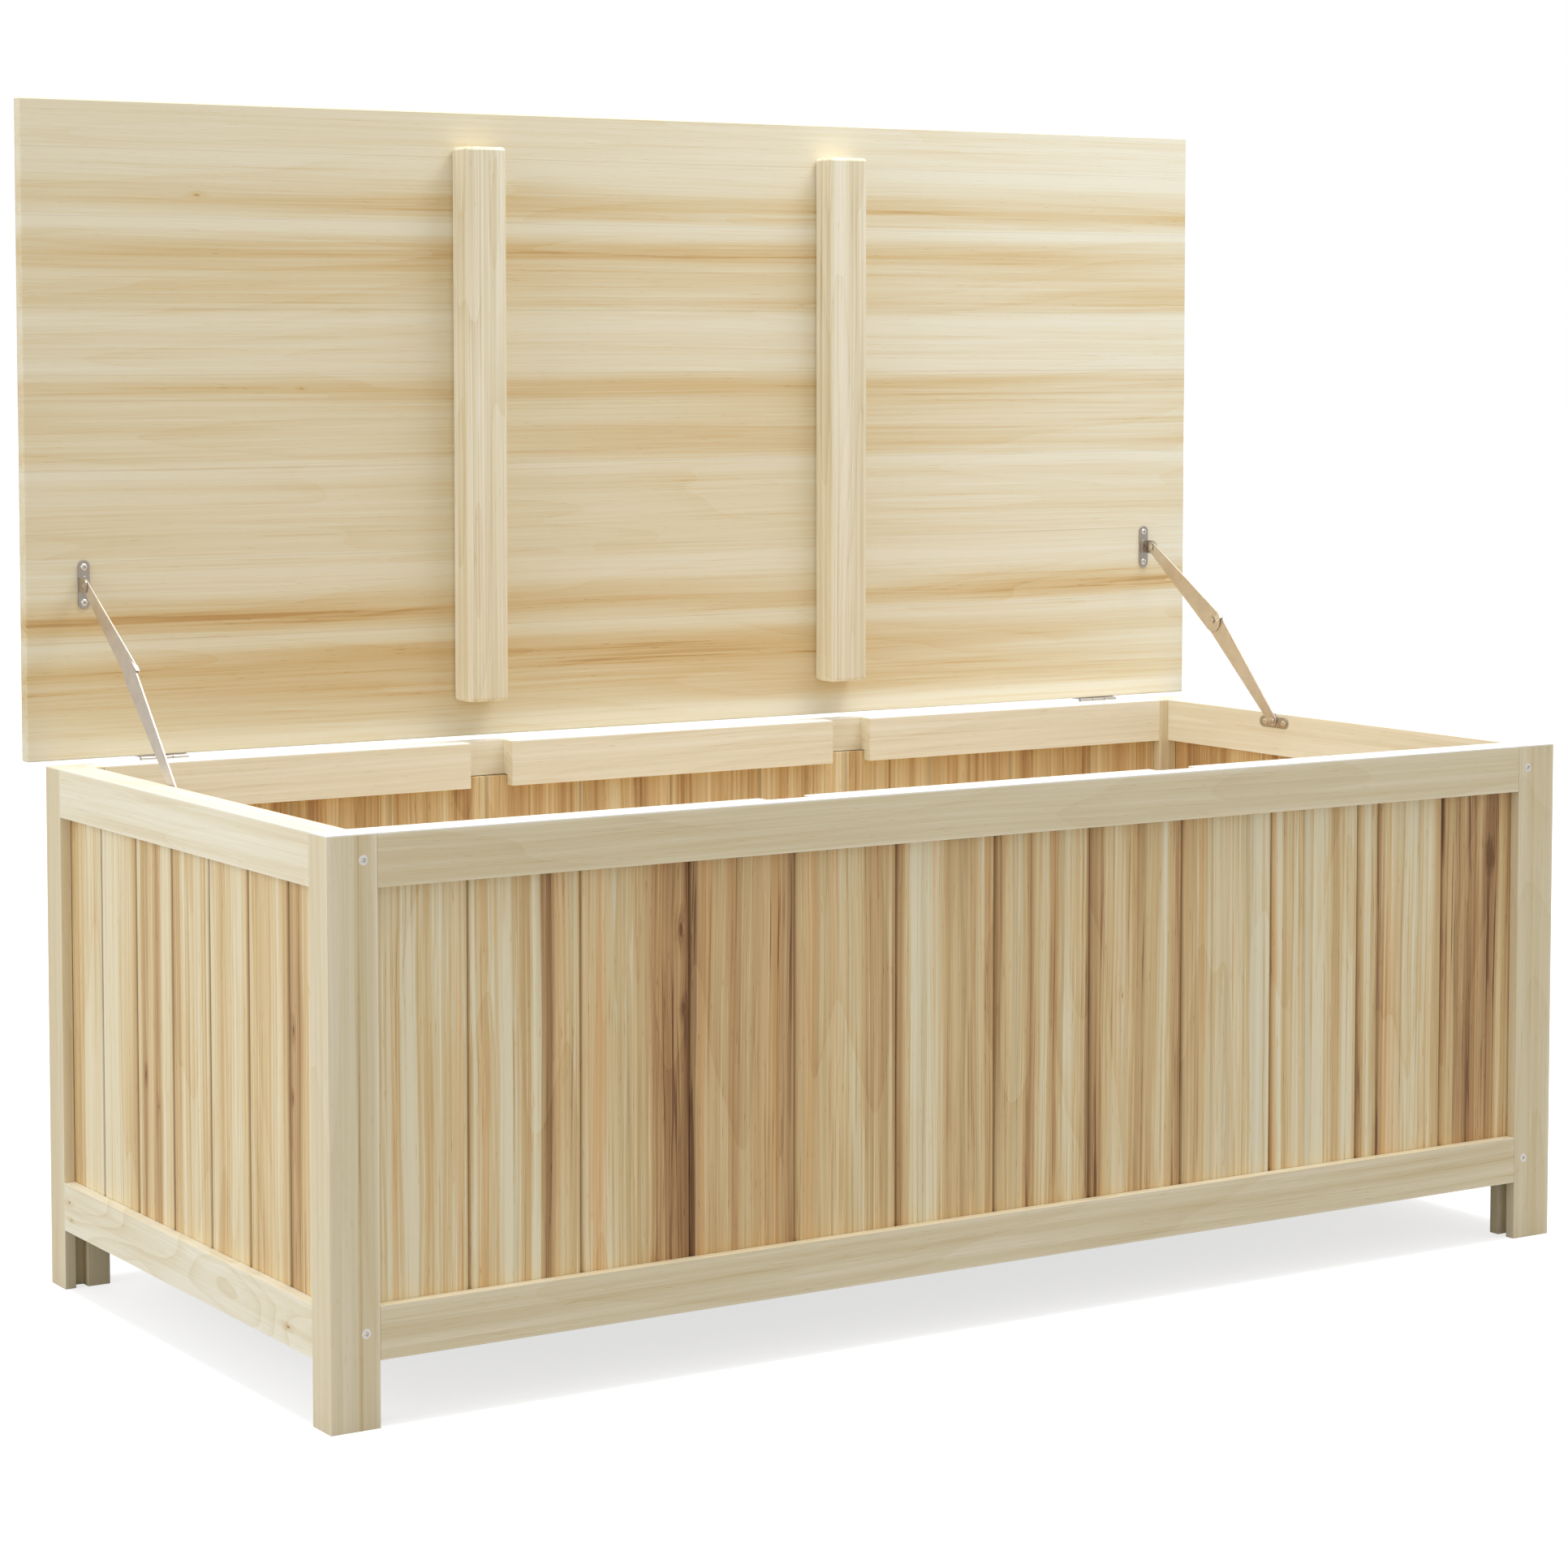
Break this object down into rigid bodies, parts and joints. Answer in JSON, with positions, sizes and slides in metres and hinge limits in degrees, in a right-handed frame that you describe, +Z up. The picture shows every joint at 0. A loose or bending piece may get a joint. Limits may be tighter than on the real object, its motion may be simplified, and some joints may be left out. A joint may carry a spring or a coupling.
{
  "type": "toy box",
  "caption": "Wooden toy box on four short legs with boarded sides and a hinged lid held open by two folding metal stays.",
  "frame": {"origin": "on the ground, under the middle of the whole object's bounding box with the lid standing open", "axes": "+X along the box's length, towards its right end seen from the front; +Y from the front to the hinged rear; +Z up"},
  "size_m": [1.127, 0.515, 0.9175],
  "materials": {
    "frame_wood": "satin",
    "board_wood": "satin",
    "lid_wood": "satin",
    "floor_wood": "matt",
    "nickel_steel": "nickel plated",
    "arm_steel": "warm nickel plated",
    "screw_steel": "bright zinc plated"
  },
  "bodies": {
    "box": {"post_front_left": "frame_wood", "post_front_right": "frame_wood", "post_rear_left": "frame_wood", "post_rear_right": "frame_wood", "front_top_rail": "frame_wood", "front_bottom_rail": "frame_wood", "rear_top_rail": "frame_wood", "rear_bottom_rail": "frame_wood", "left_top_rail": "frame_wood", "left_bottom_rail": "frame_wood", "right_top_rail": "frame_wood", "right_bottom_rail": "frame_wood", "front_board_01": "board_wood", "front_board_02": "board_wood", "front_board_03": "board_wood", "front_board_04": "board_wood", "front_board_05": "board_wood", "front_board_06": "board_wood", "front_board_07": "board_wood", "front_board_08": "board_wood", "front_board_09": "board_wood", "front_board_10": "board_wood", "front_board_11": "board_wood", "front_board_12": "board_wood", "left_panel": "board_wood", "right_panel": "board_wood", "rear_panel": "board_wood", "floor_panel": "floor_wood", "floor_cleat_front": "frame_wood", "floor_cleat_rear": "frame_wood", "frame_screw_top_left": "screw_steel", "frame_screw_top_right": "screw_steel", "frame_screw_bottom_left": "screw_steel", "frame_screw_bottom_right": "screw_steel", "hinge_left_box_leaf": "nickel_steel", "hinge_left_pin": "nickel_steel", "hinge_right_box_leaf": "nickel_steel", "hinge_right_pin": "nickel_steel", "stay_left_rail_bracket": "nickel_steel", "stay_left_foot_rivet": "nickel_steel", "stay_right_rail_bracket": "nickel_steel", "stay_right_foot_rivet": "nickel_steel"},
    "lid": {"lid_panel": "lid_wood", "lid_batten_left": "lid_wood", "lid_batten_right": "lid_wood", "hinge_left_lid_leaf": "nickel_steel", "hinge_right_lid_leaf": "nickel_steel", "stay_left_lid_bracket": "nickel_steel", "stay_left_lid_rivet": "nickel_steel", "stay_right_lid_bracket": "nickel_steel", "stay_right_lid_rivet": "nickel_steel"},
    "left_lower_arm": {"stay_left_lower_arm": "arm_steel"},
    "left_upper_arm": {"stay_left_upper_arm": "arm_steel", "stay_left_elbow_rivet": "nickel_steel"},
    "right_lower_arm": {"stay_right_lower_arm": "arm_steel"},
    "right_upper_arm": {"stay_right_upper_arm": "arm_steel", "stay_right_elbow_rivet": "nickel_steel"}
  },
  "joints": [
    {"name": "lid_hinge", "type": "hinge", "parent": "box", "child": "lid", "pos_m": [0, 0.2447, 0.4046], "axis": [1, 0, 0], "range_deg": [0, 90]},
    {"name": "left_foot_pivot", "type": "hinge", "parent": "box", "child": "left_lower_arm", "pos_m": [-0.5198, 0.0625, 0.3977], "axis": [1, 0, 0], "range_deg": [-115.17, 0]},
    {"name": "right_foot_pivot", "type": "hinge", "parent": "box", "child": "right_lower_arm", "pos_m": [0.5198, 0.0625, 0.3977], "axis": [1, 0, 0], "range_deg": [-115.17, 0]},
    {"name": "left_lid_pivot", "type": "hinge", "parent": "lid", "child": "left_upper_arm", "pos_m": [-0.5183, 0.2355, 0.543], "axis": [1, 0, 0], "range_deg": [-36.45, 0]},
    {"name": "right_lid_pivot", "type": "hinge", "parent": "lid", "child": "right_upper_arm", "pos_m": [0.5183, 0.2355, 0.543], "axis": [1, 0, 0], "range_deg": [-36.45, 0]}
  ],
  "couplings": [
    {"joint": "left_foot_pivot", "follows": "lid_hinge", "ratio": -1.2796},
    {"joint": "right_foot_pivot", "follows": "lid_hinge", "ratio": -1.2796},
    {"joint": "left_lid_pivot", "follows": "lid_hinge", "ratio": -0.40492},
    {"joint": "right_lid_pivot", "follows": "lid_hinge", "ratio": -0.40492}
  ]
}
